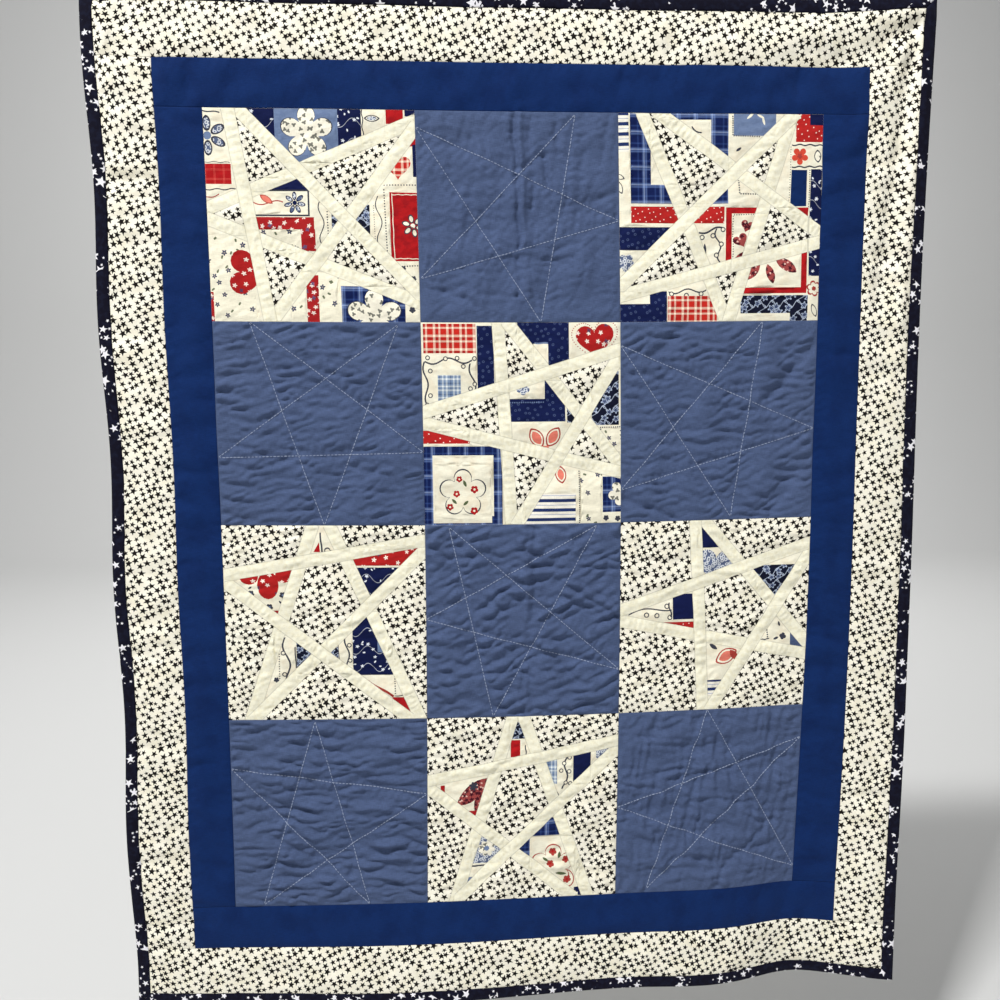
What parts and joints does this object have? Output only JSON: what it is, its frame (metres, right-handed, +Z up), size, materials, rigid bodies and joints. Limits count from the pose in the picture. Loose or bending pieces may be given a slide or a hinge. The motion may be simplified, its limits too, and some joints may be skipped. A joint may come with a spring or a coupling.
{
  "type": "star patchwork quilt blanket",
  "caption": "Hanging patchwork quilt of crooked five-point star blocks and plain quilted blocks, with two borders and a dark binding.",
  "frame": {"origin": "middle of the quilt's top edge, in the middle of the cloth's thickness", "axes": "+Z up, +X to the right as the patchwork face is looked at, -Y towards the viewer"},
  "size_m": [0.9361, 0.0303, 1.1702],
  "materials": {
    "plain_blue": "matt plain cotton",
    "patch_print": "matt printed cotton, pieced",
    "border_blue": "matt plain cotton",
    "star_print": "matt cotton with a small star print",
    "binding_print": "matt cotton with a small star print"
  },
  "bodies": {
    "root": {"star_block_1": "patch_print", "star_block_2": "patch_print", "star_block_3": "patch_print", "star_block_4": "patch_print", "star_block_5": "patch_print", "star_block_6": "patch_print", "plain_block_1": "plain_blue", "plain_block_2": "plain_blue", "plain_block_3": "plain_blue", "plain_block_4": "plain_blue", "plain_block_5": "plain_blue", "plain_block_6": "plain_blue", "inner_border_top": "border_blue", "inner_border_bottom": "border_blue", "inner_border_left": "border_blue", "inner_border_right": "border_blue", "outer_border_top": "star_print", "outer_border_bottom": "star_print", "outer_border_left": "star_print", "outer_border_right": "star_print", "binding_top": "binding_print", "binding_bottom": "binding_print", "binding_left": "binding_print", "binding_right": "binding_print"}
  },
  "joints": []
}
